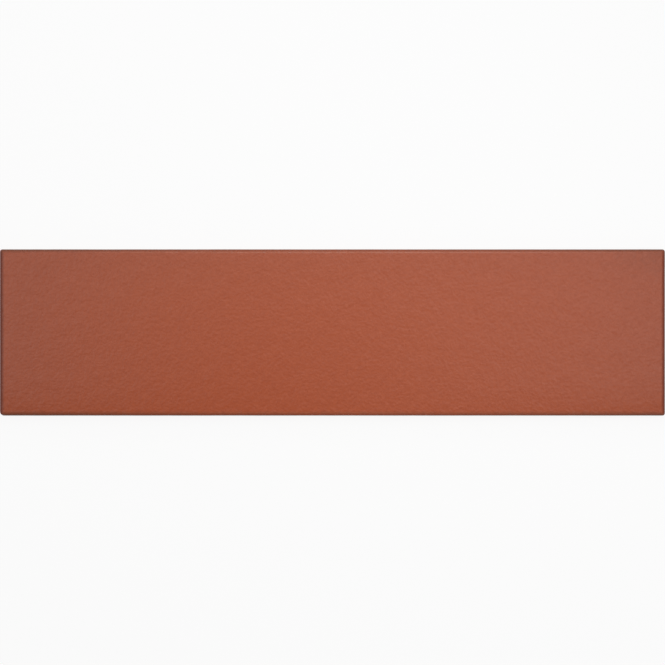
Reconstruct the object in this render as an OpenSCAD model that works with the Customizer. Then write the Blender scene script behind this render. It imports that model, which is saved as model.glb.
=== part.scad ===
// Wall tile: one flat slab of fired clay, with a rolled edge round its face and a keyed back.
// It lies on its back with its face up. X runs along the length and Y across the width,
// and the origin is at the middle of the back.

/* [Slab] */
// Length of the slab
tile_length = 368; // [240:1:480]
// Width of the slab
tile_width = 92; // [60:1:150]
// Thickness of the slab, from the lands of the back to the face
tile_thickness = 9; // [7:0.5:14]

/* [Edges] */
// Radius of the roll where the face turns down into the sides
face_roll = 2.2; // [0.6:0.1:3.5]
// Radius of the four upright corners
corner_radius = 0.9; // [0.4:0.1:3]
// Width of the bevel round the back
bevel_width = 0.6; // [0.2:0.1:1.5]
// Height of the bevel round the back
bevel_height = 1.2; // [0.4:0.1:2.5]

/* [Keyed back] */
// Depth of the keying pockets that the adhesive fills
pocket_depth = 0.7; // [0.3:0.1:1.5]
// Spacing aimed at from one pocket to the next
pocket_pitch = 23; // [15:1:30]
// Radius of a pocket's corners
pocket_corner = 2.5; // [1:0.5:3]
// Width of the lands between the pockets
land_width = 3; // [1.5:0.5:5]
// Width of the plain margin round all the pockets
margin_width = 4.5; // [3.5:0.5:8]

/* [Hidden] */

// Height at which the roll of the face begins
shoulder = tile_thickness - face_roll;

// Even counts, so that two lands cross at the middle of the back
pocket_columns = even_count(tile_length);
pocket_rows = even_count(tile_width);
pocket_length = pocket_size(tile_length, pocket_columns);
pocket_width = pocket_size(tile_width, pocket_rows);

// Depth by which a cutting shape passes the surface that it cuts
overcut = 1;

function even_count(span) = 2 * max(1, round(span / pocket_pitch / 2));
function pocket_size(span, count) = (span - 2 * margin_width - (count - 1) * land_width) / count;
function pocket_centre(index, count, size) = (index - (count - 1) / 2) * (size + land_width);

// A rectangle with round corners, centred on the origin
module rounded_rectangle(length, width, radius) {
    square([length, width - 2 * radius], center = true);
    square([length - 2 * radius, width], center = true);
    for (x = [-1, 1], y = [-1, 1])
        translate([x * (length / 2 - radius), y * (width / 2 - radius)])
            circle(r = radius, $fn = 48);
}

// The section across a span of the slab: bevel at the back, upright side, roll up to the face
module slab_section(span) {
    side = span / 2;
    polygon([
        [-side + bevel_width, 0],
        [side - bevel_width, 0],
        [side, bevel_height],
        [side, shoulder],
        [-side, shoulder],
        [-side, bevel_height]
    ]);
    translate([-side + face_roll, 0])
        square([span - 2 * face_roll, tile_thickness]);
    for (x = [-1, 1])
        translate([x * (side - face_roll), shoulder])
            circle(r = face_roll, $fn = 96);
}

// The slab's section along its length, run across the width
module lengthwise_body() {
    rotate([90, 0, 0])
        linear_extrude(height = tile_width, center = true)
            slab_section(tile_length);
}

// The slab's section across its width, run along the length
module crosswise_body() {
    rotate([90, 0, 90])
        linear_extrude(height = tile_length, center = true)
            slab_section(tile_width);
}

// One keying pocket, as the shape to cut
module pocket() {
    translate([0, 0, -overcut])
        linear_extrude(height = pocket_depth + overcut)
            rounded_rectangle(pocket_length, pocket_width, pocket_corner);
}

// All the pockets of the back
module pockets() {
    for (i = [0 : pocket_columns - 1], j = [0 : pocket_rows - 1])
        translate([
            pocket_centre(i, pocket_columns, pocket_length),
            pocket_centre(j, pocket_rows, pocket_width),
            0
        ])
            pocket();
}

module wall_tile() {
    color([0.64, 0.35, 0.26])
        difference() {
            intersection() {
                lengthwise_body();
                crosswise_body();
                linear_extrude(height = tile_thickness)
                    rounded_rectangle(tile_length, tile_width, corner_radius);
            }
            pockets();
        }
}

wall_tile();
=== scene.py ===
"""A fired-clay wall tile lying face up on a pale floor, seen from straight above.

Everything is in metres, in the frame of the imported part: X along the tile, Y across it, Z out
of its face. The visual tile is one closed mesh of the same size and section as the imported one,
with the grain of its face, the waver of its edges and the softened pockets of its back.
"""
import math
from collections import namedtuple

import bmesh
import bpy
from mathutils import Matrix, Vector, noise


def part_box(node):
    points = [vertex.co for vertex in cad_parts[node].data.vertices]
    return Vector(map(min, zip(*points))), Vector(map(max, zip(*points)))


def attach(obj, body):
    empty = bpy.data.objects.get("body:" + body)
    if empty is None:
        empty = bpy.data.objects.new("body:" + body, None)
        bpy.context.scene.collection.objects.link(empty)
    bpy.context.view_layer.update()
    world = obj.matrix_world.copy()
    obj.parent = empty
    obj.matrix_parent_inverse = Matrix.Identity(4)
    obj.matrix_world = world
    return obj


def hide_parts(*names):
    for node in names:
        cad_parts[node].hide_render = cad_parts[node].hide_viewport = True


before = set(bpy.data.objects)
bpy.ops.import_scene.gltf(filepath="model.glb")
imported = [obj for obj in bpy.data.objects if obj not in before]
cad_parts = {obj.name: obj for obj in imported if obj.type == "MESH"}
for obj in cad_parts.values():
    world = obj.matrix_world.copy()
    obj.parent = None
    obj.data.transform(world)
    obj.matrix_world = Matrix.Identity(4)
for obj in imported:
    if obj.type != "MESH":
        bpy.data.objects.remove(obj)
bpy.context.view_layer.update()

MM = 0.001
NODE = "wall_tile"

# ---------------------------------------------------------------- sizes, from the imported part

LOW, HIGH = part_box(NODE)
HALF_LENGTH = HIGH.x
HALF_WIDTH = HIGH.y
THICKNESS = HIGH.z
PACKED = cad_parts[NODE].data
HAIR = 0.01 * MM            # two measures nearer than this are the same


def side_heights():
    """The lowest and highest point of the upright end face."""
    heights = [v.co.z for v in PACKED.vertices if v.co.x > HALF_LENGTH - HAIR]
    return min(heights), max(heights)


def back_half_length():
    """Half the length of the flat back, inside its bevel."""
    return max(v.co.x for v in PACKED.vertices if v.co.z < HAIR)


def pocket_floors():
    """The level floor of each keying pocket, as its lowest and highest corner."""
    shape = bmesh.new()
    shape.from_mesh(PACKED)
    bmesh.ops.remove_doubles(shape, verts=shape.verts, dist=HAIR)
    shape.normal_update()
    level = {f for f in shape.faces if f.normal.z < -0.99 and f.calc_center_median().z > HAIR}
    floors = []
    while level:
        floor = [level.pop()]
        for face in floor:      # the list grows by each face's neighbours
            beside = {other for edge in face.edges for other in edge.link_faces} & level
            level -= beside
            floor.extend(beside)
        corners = [v.co.copy() for face in floor for v in face.verts]
        floors.append(tuple(Vector(map(pick, zip(*corners))) for pick in (min, max)))
    shape.free()
    return sorted(floors, key=lambda floor: tuple(round(v / HAIR) for v in floor[0]))


BEVEL_HEIGHT, SHOULDER = side_heights()
BEVEL_WIDTH = HALF_LENGTH - back_half_length()
FACE_ROLL = THICKNESS - SHOULDER
POCKETS = pocket_floors()
POCKET_DEPTH = POCKETS[0][0].z
POCKET_CORNER = 2.5 * MM    # as the part's source has it

# ---------------------------------------------------------------- sizes of the fine shape

GRID_STEP = 0.74 * MM
ROLL_STEPS = 12
ROLL_CROWDING = 1.3         # above 1, the lines over a roll lie closer where it begins
SIDE_ROWS = 6
BEVEL_ROWS = 2
POCKET_CORNER_STEPS = 6
SHARP_ANGLE = math.radians(32)      # folds steeper than this are shaded as creases
FACE_SINK = 0.20 * MM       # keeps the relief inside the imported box
CROWN_DROP = 0.08 * MM      # how far the face falls towards its edge before the roll
CROWN_WIDTH = 7.0 * MM
MITRE_SOFTNESS = 0.5 * MM   # how soft the crease is where two rolls meet at a corner
EDGE_WAVER = 0.04 * MM      # how far the outline wavers inwards
LONG_WAVER = 23 * MM        # the cell sizes of its two waves
SHORT_WAVER = 6 * MM
WAVER_ONSET = 1.5           # above 1, the waver is full before the roll ends
# Radius of each upright corner, by the signs of its X and Y
CORNER_RADIUS = {(-1, -1): 2.6 * MM, (1, -1): 1.5 * MM, (-1, 1): 1.5 * MM, (1, 1): 1.5 * MM}
# Relief of the face and grit of the sides: the cell size and height of each layer of noise
FACE_RELIEF = [(10 * MM, 0.050 * MM), (5 * MM, 0.018 * MM), (2 * MM, 0.050 * MM)]
SIDE_GRIT = [(5 * MM, 0.012 * MM), (1.6 * MM, 0.010 * MM)]
SIDE_GRIT_DEPTH = 0.02 * MM
LAYER_OFFSET = Vector((17.3, 5.1, 9.7))     # takes each layer from another part of the noise
# A pocket's wall from its mouth to its floor: distance in from the mouth, and share of the depth
POCKET_WALL = [(0.00 * MM, 0.00), (0.08 * MM, 0.06), (0.16 * MM, 0.20),
               (0.30 * MM, 0.80), (0.42 * MM, 0.94), (0.65 * MM, 1.00)]

# Each roll is painted darker, partly as a darker coating and partly as painted shade where it turns
# from the lamps: its shade where the roll begins and where it ends, and the power of the turn by
# which it gets there
LEFT_SHADE = (0.26, 1.00, 0.50)
RIGHT_SHADE = (0.08, 0.88, 0.55)
LOWER_SHADE = (0.11, 0.42, 1.00)
UPPER_SHADE = (-0.06, 0.37, 0.50)
ENDS_SHADE = 0.8            # how much darker the long rolls are towards the ends
RUBBED_AND_HIGHLIGHT_TURN = 0.25          # how far round the long rolls the coating is rubbed smooth and painted with a highlight
RIM_BEGINS = 0.7            # how far round the rolls the coating begins to thin out
RIM_BARE = 0.3              # how bare the clay is where the upright sides begin

# Painted falloff of the light and painted sheen: the face is duller the further along X from here.
LIGHTEST_AT = 0.01
# A deeper patch: its middle, its reach along X and Y, how fast it deepens on the way in from
# there, and the share of that way after which it is level
DEEP_PATCH = (-0.055, -0.035)
DEEP_REACH = (0.136, 0.072)
DEEP_STRENGTH = 0.57
DEEP_LEVEL = 0.875
# A deeper band along the lower side, painted shade where the sheen of the lamps is weaker: how
# far out it begins, and its depth at the middle and ends
LOW_BAND = 0.020
LOW_DEPTH = (0.25, 1.1)
# A duller band along the upper side, painted sheen of the lamps behind: how far out it begins, and
# its dullness
HIGH_BAND = 0.010
HIGH_DULLNESS = 0.3
# Painted shade at the upper right corner: its shade, and its reach along X and Y
CORNER_SHADE = 0.20
CORNER_REACH = (0.045, 0.022)


# ---------------------------------------------------------------- small tools


def lerp(a, b, t):
    """From a at t = 0 to b at t = 1."""
    return a + (b - a) * t


def smooth(t):
    """From 0 at t = 0 to 1 at t = 1, with level ends."""
    t = min(max(t, 0.0), 1.0)
    return t * t * (3 - 2 * t)


def soft_max(a, b, softness):
    """The larger of two drops, with the crease where they meet rounded off."""
    softness = min(softness, a, b)
    if softness <= 0:
        return max(a, b)
    overlap = max(softness - abs(a - b), 0.0)
    return max(a, b) + overlap * overlap / (4 * softness)


def layered_noise(point, layers):
    """The sum of noise layers, each a cell size and a height."""
    total = 0.0
    for index, (cell, height) in enumerate(layers):
        total += height * 2 * noise.noise(point / cell + LAYER_OFFSET * (index + 1))
    return total


# ---------------------------------------------------------------- the tile's mesh


# What a point carries for the material: how dark its coating is, partly painted shade, a little
# below 0 at the lightest, and then, each from 0 to 1, how bare the clay is there, how far the
# coating is rubbed smooth and painted with a highlight, how far the point belongs to an end, how
# deep in colour it is, partly painted shade, and how dull, which is painted falloff and sheen
Finish = namedtuple("Finish", "shade bare rubbed end deep dull")
BARE_CLAY = Finish(shade=1.0, bare=1.0, rubbed=0.0, end=0.0, deep=0.0, dull=0.0)

# A line of the face's grid: its place across the tile, how far it is round the roll from 0 to 1,
# how far it lies below the flat, and the shade of its coating
Line = namedtuple("Line", "place turn drop shade")


class TileMesh:
    """Collects points with their finish, and faces."""

    def __init__(self):
        self.points = []
        self.unfolded = []
        self.finishes = []
        self.faces = []

    def add(self, point, unfolded, finish=BARE_CLAY):
        """A point, its place with the tile's skin unfolded flat, and its finish."""
        self.points.append(point)
        self.unfolded.append(unfolded)
        self.finishes.append(finish)
        return len(self.points) - 1

    def bridge(self, upper, lower):
        """Quads between two closed loops of the same length."""
        count = len(upper)
        for k in range(count):
            n = (k + 1) % count
            self.faces.append((upper[k], lower[k], lower[n], upper[n]))


def roll_lines(flat, shades):
    """The lines over one roll, from its beginning outwards."""
    first_shade, last_shade, power = shades
    lines = []
    for k in range(ROLL_STEPS + 1):
        turn = (k / ROLL_STEPS) ** ROLL_CROWDING
        angle = math.pi / 2 * turn
        place = flat + FACE_ROLL * math.sin(angle)
        drop = FACE_ROLL * (1 - math.cos(angle))
        lines.append(Line(place, turn, drop, lerp(first_shade, last_shade, turn ** power)))
    return lines


def grid_lines(half, low_shades, high_shades):
    """The lines across one span, from one roll over the flat of the face to the other roll."""
    flat = half - FACE_ROLL
    cells = round(2 * flat / GRID_STEP)
    low = [line._replace(place=-line.place) for line in roll_lines(flat, low_shades)]
    inner = [Line(lerp(-flat, flat, k / cells), 0.0, 0.0, 0.0) for k in range(1, cells)]
    return low[::-1] + inner + roll_lines(flat, high_shades)


def rounded_corner(x, y):
    """The plan position of a grid point, with the square corner drawn in to an arc."""
    sign_x = 1 if x > 0 else -1
    sign_y = 1 if y > 0 else -1
    radius = CORNER_RADIUS[(sign_x, sign_y)]
    a = (abs(x) - (HALF_LENGTH - radius)) / radius
    b = (abs(y) - (HALF_WIDTH - radius)) / radius
    if a <= 0 or b <= 0:
        return x, y
    across = a * math.sqrt(1 - b * b / 2)
    along = b * math.sqrt(1 - a * a / 2)
    return (sign_x * (HALF_LENGTH - radius + radius * across),
            sign_y * (HALF_WIDTH - radius + radius * along))


def edge_waver(x, y):
    """How far the outline stands inside the true one near this point, from 0 to EDGE_WAVER."""
    long_wave = noise.noise(Vector((x, y, 0.3)) / LONG_WAVER)
    short_wave = noise.noise(Vector((x, y, 0.7)) / SHORT_WAVER)
    return EDGE_WAVER * smooth(0.5 + 0.6 * long_wave + 0.3 * short_wave)


def unrolled(line):
    """How far the arc of the roll carries a line outwards when it is laid flat."""
    angle = math.pi / 2 * line.turn
    return math.copysign(FACE_ROLL * (angle - math.sin(angle)), line.place)


def off_centre(x):
    """0 where the face is lightest, rising to about 1 at the ends of the tile."""
    return ((x - LIGHTEST_AT) / HALF_LENGTH) ** 2


def band(y, beginning):
    """0 up to where a band along a long side begins, rising to 1 where the roll begins."""
    return max(0.0, (y - beginning) / (HALF_WIDTH - FACE_ROLL - beginning)) ** 2


def deeper_patch_and_painted_shade(x, y):
    """Deeper colour: a patch low on the left, and painted shade along the lower side."""
    away = math.hypot((x - DEEP_PATCH[0]) / DEEP_REACH[0], (y - DEEP_PATCH[1]) / DEEP_REACH[1])
    patch = DEEP_STRENGTH * min(max(1 - away, 0.0), DEEP_LEVEL)
    low_side = band(-y, LOW_BAND) * lerp(*LOW_DEPTH, (x / HALF_LENGTH) ** 2)
    return min(1.0, patch + low_side)


def painted_falloff_and_sheen(x, y):
    """Painted falloff and sheen towards the ends, and painted sheen a little along the upper side."""
    return min(1.0, off_centre(x) + HIGH_DULLNESS * band(y, HIGH_BAND))


def corner_shade(x, y):
    """Painted shade round the upper right corner, fading with distance from it."""
    away = math.hypot((HALF_LENGTH - x) / CORNER_REACH[0], (HALF_WIDTH - y) / CORNER_REACH[1])
    return CORNER_SHADE * max(0.0, 1 - away)


def rubbing_and_highlight(turn):
    """Smoothness and painted highlight this far round a long roll: most a little past its beginning."""
    return math.sin(math.pi * min(turn / RUBBED_AND_HIGHLIGHT_TURN, 1.0))


def rim_bareness(turn):
    """How bare the clay is this far round a roll."""
    return RIM_BARE * smooth((turn - RIM_BEGINS) / (1 - RIM_BEGINS))


def face_finish(line_x, line_y):
    """The finish where two lines of the face's grid cross. It blends round the corners."""
    x = line_x.place
    y = line_y.place
    turn = math.hypot(line_x.turn, line_y.turn)
    end = (line_x.turn / turn) ** 2 if turn else 0.0
    long_shade = line_y.shade * (1 + ENDS_SHADE * off_centre(x))
    shade = lerp(long_shade, line_x.shade, end) if turn else max(long_shade, line_x.shade)
    rubbed = (1 - end) * max(0.0, 1 - off_centre(x)) * rubbing_and_highlight(line_y.turn)
    return Finish(
        shade=max(shade, corner_shade(x, y)),
        bare=rim_bareness(turn),
        rubbed=rubbed,
        end=end,
        deep=deeper_patch_and_painted_shade(x, y),
        dull=painted_falloff_and_sheen(x, y),
    )


def face_point(line_x, line_y):
    """Where two lines of the face's grid cross, in place and on the unfolded skin."""
    turn = max(line_x.turn, line_y.turn)
    plan_x, plan_y = rounded_corner(line_x.place, line_y.place)
    from_edge = min(HALF_LENGTH - abs(line_x.place), HALF_WIDTH - abs(line_y.place))
    crown = CROWN_DROP * (1 - smooth(from_edge / CROWN_WIDTH)) * (1 - turn)
    drop = soft_max(line_x.drop, line_y.drop, MITRE_SOFTNESS) + crown
    point = Vector((plan_x, plan_y, THICKNESS - FACE_SINK * (1 - turn) - drop))
    point.z += layered_noise(point, FACE_RELIEF) * (1 - turn)
    waver = edge_waver(plan_x, plan_y) * smooth(turn * WAVER_ONSET)
    point.x -= math.copysign(waver, plan_x) * line_x.turn
    point.y -= math.copysign(waver, plan_y) * line_y.turn
    return point, Vector((plan_x + unrolled(line_x), plan_y + unrolled(line_y)))


def border_loop(columns, rows):
    """Grid indices round the edge of a grid of points, anticlockwise from its first corner."""
    loop = [(i, 0) for i in range(columns)]
    loop += [(columns - 1, j) for j in range(1, rows)]
    loop += [(i, rows - 1) for i in range(columns - 2, -1, -1)]
    loop += [(0, j) for j in range(rows - 2, 0, -1)]
    return [i * rows + j for i, j in loop]


def add_face(tile):
    """The face with its roll. Returns the loop of points where the upright side begins."""
    lines_x = grid_lines(HALF_LENGTH, LEFT_SHADE, RIGHT_SHADE)
    lines_y = grid_lines(HALF_WIDTH, LOWER_SHADE, UPPER_SHADE)
    rows = len(lines_y)
    for line_x in lines_x:
        for line_y in lines_y:
            tile.add(*face_point(line_x, line_y), face_finish(line_x, line_y))
    for i in range(len(lines_x) - 1):
        for j in range(rows - 1):
            at = i * rows + j
            tile.faces.append((at, at + rows, at + rows + 1, at + 1))
    return border_loop(len(lines_x), rows)


def outward(point):
    """The level direction square to the outline at this point of it."""
    sign_x = 1 if point.x > 0 else -1
    sign_y = 1 if point.y > 0 else -1
    radius = CORNER_RADIUS[(sign_x, sign_y)]
    out_x = max(abs(point.x) - (HALF_LENGTH - radius), 0.0)
    out_y = max(abs(point.y) - (HALF_WIDTH - radius), 0.0)
    return Vector((sign_x * out_x, sign_y * out_y)).normalized()


def side_grit(point):
    """How far the bare clay of the side stands back at this point."""
    return max(0.0, SIDE_GRIT_DEPTH + layered_noise(point, SIDE_GRIT))


def add_ring(tile, top_loop, height, inset, below, bare):
    """A ring of the side under the top loop: inset(point) in from it, and below it on the skin."""
    ring = []
    for index in top_loop:
        top = tile.points[index]
        out = outward(top)
        place = Vector((top.x, top.y)) - out * inset(Vector((top.x, top.y, height)))
        unfolded = tile.unfolded[index] + out * below
        finish = tile.finishes[index]._replace(bare=bare, rubbed=0.0)
        ring.append(tile.add(Vector((*place, height)), unfolded, finish))
    return ring


def add_side(tile, top_loop):
    """The upright side and the bevel under it. Returns the loop at the level of the back."""
    upper = top_loop
    for k in range(1, SIDE_ROWS + 1):
        height = lerp(SHOULDER, BEVEL_HEIGHT, k / SIDE_ROWS)
        bare = lerp(RIM_BARE, 1.0, k / SIDE_ROWS)
        ring = add_ring(tile, top_loop, height, side_grit, SHOULDER - height, bare)
        tile.bridge(upper, ring)
        upper = ring
    for k in range(1, BEVEL_ROWS + 1):
        share = k / BEVEL_ROWS
        height = BEVEL_HEIGHT * (1 - share)
        below = SHOULDER - BEVEL_HEIGHT + math.hypot(BEVEL_HEIGHT, BEVEL_WIDTH) * share
        ring = add_ring(tile, top_loop, height, lambda point: BEVEL_WIDTH * share, below, 1.0)
        tile.bridge(upper, ring)
        upper = ring
    return upper


def rounded_rectangle(centre, half, radius):
    """Points round a rectangle with round corners, anticlockwise."""
    points = []
    for quarter, (sign_x, sign_y) in enumerate([(1, 1), (-1, 1), (-1, -1), (1, -1)]):
        for k in range(POCKET_CORNER_STEPS + 1):
            angle = math.pi / 2 * (quarter + k / POCKET_CORNER_STEPS)
            points.append((
                centre.x + sign_x * (half.x - radius) + radius * math.cos(angle),
                centre.y + sign_y * (half.y - radius) + radius * math.sin(angle),
            ))
    return points


def add_pocket(tile, low, high):
    """One keying pocket between two corners. Returns the loop of its mouth."""
    centre = ((low + high) / 2).xy
    half = ((high - low) / 2).xy
    loops = []
    for inset, share in POCKET_WALL:
        outline = rounded_rectangle(centre, half - Vector((inset, inset)), POCKET_CORNER - inset)
        height = POCKET_DEPTH * share
        loops.append([tile.add(Vector((x, y, height)), Vector((x, y))) for x, y in outline])
    for outer, inner in zip(loops, loops[1:]):
        tile.bridge(outer, inner)
    tile.faces.append(tuple(loops[-1]))
    return loops[0]


# The unfolded sides reach out by less than this past the outline of the tile
SKIN_MARGIN = SHOULDER + FACE_ROLL * (math.pi / 2 - 1) + BEVEL_WIDTH
# The map for baking: half the width that the tile takes on it, and for the back and for the face
# with its sides, the middle and half the height of its strip
MAP_HALF_WIDTH = 0.49
BACK_STRIP = (0.83, 0.16)
FACE_STRIP = (0.33, 0.32)


def strip_height(strip, share):
    """The height on the map of a point this far across a strip, from -1 to 1."""
    middle, half = strip
    return middle + half * share


def lay_out(mesh, unfolded):
    """The map for baking: the face with its sides folded out below, the back above."""
    layer = mesh.uv_layers.new(name="OFBake")
    for face in mesh.polygons:
        back = max(mesh.vertices[v].co.z for v in face.vertices) < POCKET_DEPTH + HAIR
        for corner in face.loop_indices:
            vertex = mesh.loops[corner].vertex_index
            if back:
                place = mesh.vertices[vertex].co
                u = 0.5 - MAP_HALF_WIDTH * place.x / HALF_LENGTH
                v = strip_height(BACK_STRIP, place.y / HALF_WIDTH)
            else:
                place = unfolded[vertex]
                u = 0.5 + MAP_HALF_WIDTH * place.x / (HALF_LENGTH + SKIN_MARGIN)
                v = strip_height(FACE_STRIP, place.y / (HALF_WIDTH + SKIN_MARGIN))
            layer.data[corner].uv = (u, v)


def fill_lands(mesh, loops):
    """The flat lands of the back: everything between its outline and the mouths of the pockets."""
    shape = bmesh.new()
    shape.from_mesh(mesh)
    shape.verts.ensure_lookup_table()
    edges = []
    for loop in loops:
        for k, index in enumerate(loop):
            pair = (shape.verts[index], shape.verts[loop[(k + 1) % len(loop)]])
            edges.append(shape.edges.get(pair) or shape.edges.new(pair))
    bmesh.ops.triangle_fill(shape, use_beauty=True, use_dissolve=False, edges=edges)
    bmesh.ops.recalc_face_normals(shape, faces=shape.faces)
    shape.to_mesh(mesh)
    shape.free()


def make_tile():
    """The whole tile as one closed mesh, with its finish as attributes."""
    tile = TileMesh()
    top_loop = add_face(tile)
    back_loop = add_side(tile, top_loop)
    mouths = [add_pocket(tile, low, high) for low, high in POCKETS]
    mesh = bpy.data.meshes.new("fired_tile")
    mesh.from_pydata(tile.points, [], tile.faces)
    for name, values in zip(Finish._fields, zip(*tile.finishes)):
        mesh.attributes.new(name, "FLOAT", "POINT").data.foreach_set("value", values)
    fill_lands(mesh, [back_loop] + mouths)
    lay_out(mesh, tile.unfolded)
    mesh.shade_smooth()
    mesh.set_sharp_from_angle(angle=SHARP_ANGLE)
    piece = bpy.data.objects.new("fired_tile", mesh)
    bpy.context.scene.collection.objects.link(piece)
    return piece


# ---------------------------------------------------------------- materials


NOISE_LOW = 0.3             # nearly all of a noise texture's values lie between these
NOISE_HIGH = 0.7


class Nodes:
    """Adds nodes to one tree, and links them."""

    def __init__(self, tree):
        self.tree = tree

    def add(self, kind, inputs=None, **settings):
        """A node with these settings. Each input is a value, or another node's output to link."""
        made = self.tree.nodes.new(kind)
        for name, value in settings.items():
            setattr(made, name, value)
        for name, value in (inputs or {}).items():
            if isinstance(value, bpy.types.NodeSocket):
                self.tree.links.new(value, made.inputs[name])
            else:
                made.inputs[name].default_value = value
        return made

    def noise(self, cell, detail=2.0, roughness=0.5):
        """Noise in the object's own space, by the cell size of its coarsest layer."""
        place = self.add("ShaderNodeTexCoord").outputs["Object"]
        made = self.add("ShaderNodeTexNoise", {"Vector": place, "Scale": 1 / cell,
                                               "Detail": detail, "Roughness": roughness})
        return made.outputs["Fac"]

    def spread(self, value, low, high, to_low=0.0, to_high=1.0):
        """Maps low..high of a value to to_low..to_high, and goes no further."""
        made = self.add("ShaderNodeMapRange", {"Value": value, "From Min": low, "From Max": high,
                                               "To Min": to_low, "To Max": to_high})
        return made.outputs["Result"]

    def vary(self, low, high, cell, detail=2.0, roughness=0.5):
        """Noise that wanders from low to high."""
        return self.spread(self.noise(cell, detail, roughness), NOISE_LOW, NOISE_HIGH, low, high)

    def mix(self, factor, first, second, blend="MIX"):
        """A blend of two colours. The node's colour sockets share their names, so they go by number."""
        made = self.add("ShaderNodeMix", {0: factor, 6: first, 7: second}, data_type="RGBA",
                        blend_type=blend)
        return made.outputs[2]

    def math(self, operation, first, second):
        """A sum, product or the like of two numbers."""
        made = self.add("ShaderNodeMath", {0: first, 1: second}, operation=operation)
        return made.outputs[0]

    def grey(self, value):
        """The same value for red, green and blue."""
        made = self.add("ShaderNodeCombineColor", {"Red": value, "Green": value, "Blue": value})
        return made.outputs[0]

    def attribute(self, name):
        """A number that the mesh carries at its points."""
        return self.add("ShaderNodeAttribute", attribute_name=name).outputs["Fac"]


def colour(red, green, blue):
    """A colour by its linear red, green and blue."""
    return (red, green, blue, 1.0)


FACE_COLOUR = colour(0.340, 0.067, 0.0215)
# Painted falloff and sheen: the face's colour where it is painted dull
DULL_COLOUR = colour(0.287, 0.060, 0.0225)
# A deeper tint: a patch low on the left, and painted shade along the lower side
DEEP_TINT = colour(0.95, 0.77, 0.38)
# A painted highlight along the long rolls
PAINTED_HIGHLIGHT_COLOUR = colour(0.40, 0.11, 0.045)
DARK_GRAIN = colour(0.965, 0.94, 0.91)
LIGHT_GRAIN = colour(1.035, 1.06, 1.09)
# The rolls' darker coating, partly painted shade
LONG_EDGE_COLOUR = colour(0.105, 0.029, 0.010)
END_EDGE_COLOUR = colour(0.145, 0.021, 0.004)
BODY_COLOUR = colour(0.420, 0.125, 0.062)
WHITE = colour(1, 1, 1)

EDGE_FADE = (0.05, 0.65)    # the shades at which the edge's colour sets in and is full
BODY_FADE = (0.12, 0.42)    # how bare the clay is where the body sets in and is all that shows

COATING_ROUGHNESS = (0.43, 0.48)
RUBBED_GLOSS = 0.25         # how much less rough the coating is where it is rubbed smooth
BODY_ROUGHNESS = 0.85
LEAST_ROUGHNESS = 0.1
SPECULAR_LEVEL = 0.35

LEATHER_CELL = 1.5 * MM
LEATHER_HEIGHT = 0.19 * MM
# How much of the leathery grain is left where each attribute is full
LEATHER_LEFT = {"shade": 0.25, "rubbed": 0.4}
GRIT_CELL = 0.75 * MM
COATING_GRIT = 0.065 * MM
BODY_GRIT = 0.12 * MM


def coating_colour(n):
    """The face's colour with its fine grain, darkening over the rolls, partly with painted shade, and
    with painted falloff, sheen and highlight.
    """
    # Painted falloff and sheen, then a deeper tint that is partly painted shade
    face = n.mix(n.attribute("dull"), FACE_COLOUR, DULL_COLOUR)
    face = n.mix(1.0, face, n.mix(n.attribute("deep"), WHITE, DEEP_TINT), "MULTIPLY")
    fine = n.vary(0.0, 1.0, cell=1.6 * MM, detail=0.5, roughness=0.6)
    face = n.mix(1.0, face, n.mix(fine, DARK_GRAIN, LIGHT_GRAIN), "MULTIPLY")
    # A ragged painted highlight along the long rolls, where they are also rubbed smooth
    rubbed = n.math("MULTIPLY", n.attribute("rubbed"), n.vary(0.2, 0.8, cell=2.5 * MM))
    face = n.mix(rubbed, face, PAINTED_HIGHLIGHT_COLOUR)
    # Darker over the rolls: partly a darker coating, partly painted shade
    edge = n.mix(n.attribute("end"), LONG_EDGE_COLOUR, END_EDGE_COLOUR)
    shade = n.math("ADD", n.attribute("shade"), n.vary(-0.05, 0.05, cell=3 * MM))
    return n.mix(n.spread(shade, *EDGE_FADE), face, edge)


def body_colour(n):
    """The bare body's colour: sand, and broad patches of the firing."""
    sand = n.vary(0.80, 1.20, cell=0.8 * MM, detail=3.0, roughness=0.7)
    patches = n.vary(0.93, 1.07, cell=14 * MM)
    return n.mix(1.0, BODY_COLOUR, n.grey(n.math("MULTIPLY", sand, patches)), "MULTIPLY")


def uncoated(n):
    """0 on the coating and 1 on the bare body, with a ragged fade between them."""
    ragged = n.vary(-0.10, 0.10, cell=2 * MM, detail=4.0, roughness=0.75)
    return n.spread(n.math("ADD", n.attribute("bare"), ragged), *BODY_FADE)


def clay_roughness(n, body):
    """Matt on the coating, smoother on the worn band of the long rolls, and dull on the body."""
    coating = n.vary(*COATING_ROUGHNESS, cell=4 * MM)
    smoother = n.math("MULTIPLY", n.attribute("rubbed"), RUBBED_GLOSS)
    coating = n.math("SUBTRACT", coating, smoother)
    return n.math("MAXIMUM", coating, n.spread(body, 0.0, 1.0, LEAST_ROUGHNESS, BODY_ROUGHNESS))


def clay_relief(n, body):
    """Heights too fine for the mesh: leathery grain, and grit that the body has more of."""
    leather = n.math("MULTIPLY", n.noise(LEATHER_CELL, detail=0.2, roughness=0.8), LEATHER_HEIGHT)
    for name, left in LEATHER_LEFT.items():
        leather = n.math("MULTIPLY", leather, n.spread(n.attribute(name), 0.0, 1.0, 1.0, left))
    depth = n.spread(body, 0.0, 1.0, COATING_GRIT, BODY_GRIT)
    grit = n.math("MULTIPLY", n.noise(GRIT_CELL, detail=1.0, roughness=0.6), depth)
    return n.math("ADD", leather, grit)


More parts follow.
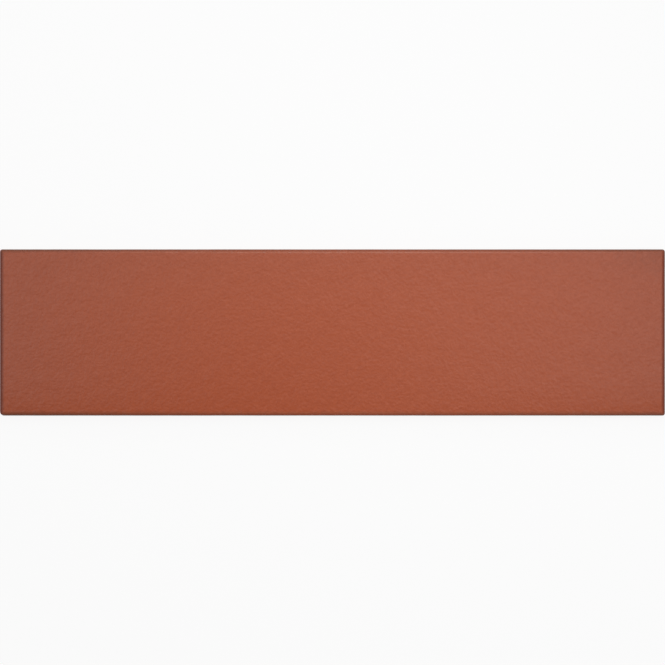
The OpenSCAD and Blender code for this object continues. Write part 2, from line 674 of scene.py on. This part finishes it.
def fired_clay():
    """One fired clay: a fine matt coating, darker over the rolls, partly with painted shade, and with
    painted falloff, sheen and highlight, on a bare and sandy body.
    """
    material = bpy.data.materials.new("fired_clay")
    material.use_nodes = True
    tree = material.node_tree
    tree.nodes.clear()
    n = Nodes(tree)
    body = uncoated(n)
    relief = clay_relief(n, body)
    bump = n.add("ShaderNodeBump", {"Height": relief, "Distance": 1.0, "Strength": 1.0})
    shader = n.add("ShaderNodeBsdfPrincipled", {
        "Base Color": n.mix(body, coating_colour(n), body_colour(n)),
        "Roughness": clay_roughness(n, body),
        "Normal": bump.outputs[0],
        "Specular IOR Level": SPECULAR_LEVEL,
    })
    output = n.add("ShaderNodeOutputMaterial")
    tree.links.new(shader.outputs[0], output.inputs[0])
    return material


# ---------------------------------------------------------------- the studio


def seen(n):
    """1 on rays that the camera sees by, straight, mirrored or through glass, and 0 on others."""
    path = n.add("ShaderNodeLightPath")
    direct = n.math("MAXIMUM", path.outputs["Is Camera Ray"], path.outputs["Is Glossy Ray"])
    return n.math("MAXIMUM", direct, path.outputs["Is Transmission Ray"])


FLOOR_HALF = 12.0
FLOOR_COLOUR = colour(0.75, 0.75, 0.75)
FLOOR_WHITE_SHARE = 0.9     # how far what is seen of the floor is plain white


def floor_material():
    """A pale floor that looks nearly white, and keeps a little of the shadows on it."""
    material = bpy.data.materials.new("floor")
    material.use_nodes = True
    tree = material.node_tree
    tree.nodes.clear()
    n = Nodes(tree)
    lit = n.add("ShaderNodeBsdfDiffuse", {"Color": FLOOR_COLOUR})
    white = n.add("ShaderNodeEmission", {"Color": WHITE, "Strength": 1.0})
    share = n.math("MULTIPLY", seen(n), FLOOR_WHITE_SHARE)
    mixed = n.add("ShaderNodeMixShader", {0: share, 1: lit.outputs[0], 2: white.outputs[0]})
    output = n.add("ShaderNodeOutputMaterial")
    tree.links.new(mixed.outputs[0], output.inputs[0])
    return material


def make_floor():
    """A level square under the tile, far wider than any view of it."""
    corners = [(-FLOOR_HALF, -FLOOR_HALF, 0), (FLOOR_HALF, -FLOOR_HALF, 0),
               (FLOOR_HALF, FLOOR_HALF, 0), (-FLOOR_HALF, FLOOR_HALF, 0)]
    mesh = bpy.data.meshes.new("floor")
    mesh.from_pydata(corners, [], [(0, 1, 2, 3)])
    floor = bpy.data.objects.new("floor", mesh)
    bpy.context.scene.collection.objects.link(floor)
    mesh.materials.append(floor_material())


WORLD_STRENGTH = 0.27


def make_world():
    """White to the eye, and a plain soft light on what stands in it."""
    world = bpy.data.worlds.new("studio")
    bpy.context.scene.world = world
    world.use_nodes = True
    tree = world.node_tree
    tree.nodes.clear()
    n = Nodes(tree)
    strength = n.spread(seen(n), 0.0, 1.0, WORLD_STRENGTH, 1.0)
    background = n.add("ShaderNodeBackground", {"Color": WHITE, "Strength": strength})
    output = n.add("ShaderNodeOutputWorld")
    tree.links.new(background.outputs[0], output.inputs[0])


def make_softbox(name, place, size, watts):
    """A rectangular lamp that faces the middle of the tile, and that the camera doesn't see."""
    lamp = bpy.data.lights.new(name, "AREA")
    lamp.shape = "RECTANGLE"
    lamp.size, lamp.size_y = size
    lamp.energy = watts
    box = bpy.data.objects.new(name, lamp)
    box.location = place
    box.visible_camera = False
    box.rotation_euler = (-Vector(place)).to_track_quat("-Z", "Y").to_euler()
    bpy.context.scene.collection.objects.link(box)


LENS = 200.0
SENSOR = 36.0
FRAME_FILL = 1.0003         # share of the picture's width that the tile spans
CAMERA_OFFSET = 0.08 * MM   # how far along X the camera stands from the tile's middle


def make_camera():
    """Straight above the tile, with the tile's length across the picture."""
    distance = HALF_LENGTH * 2 * LENS / (SENSOR * FRAME_FILL)
    data = bpy.data.cameras.new("camera")
    data.lens = LENS
    data.sensor_width = SENSOR
    data.clip_start = 0.01
    data.clip_end = 100.0
    camera = bpy.data.objects.new("camera", data)
    camera.location = (CAMERA_OFFSET, 0, SHOULDER + distance)
    bpy.context.scene.collection.objects.link(camera)
    bpy.context.scene.camera = camera


# ---------------------------------------------------------------- the scene

make_camera()
make_floor()
make_world()
make_softbox("left_box", (-0.43, 0.11, 0.72), (0.30, 0.50), 1.65)
make_softbox("key_box", (0.115, 0.135, 0.385), (0.60, 0.20), 0.97)
make_softbox("back_box", (0.10, 1.10, 0.65), (0.80, 0.40), 2.8)
make_softbox("front_box", (0.34, -0.56, 0.38), (0.30, 0.50), 0.6)

tile = make_tile()
tile.data.materials.append(fired_clay())
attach(tile, "root")
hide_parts(NODE)

bpy.context.scene.view_settings.view_transform = "Standard"
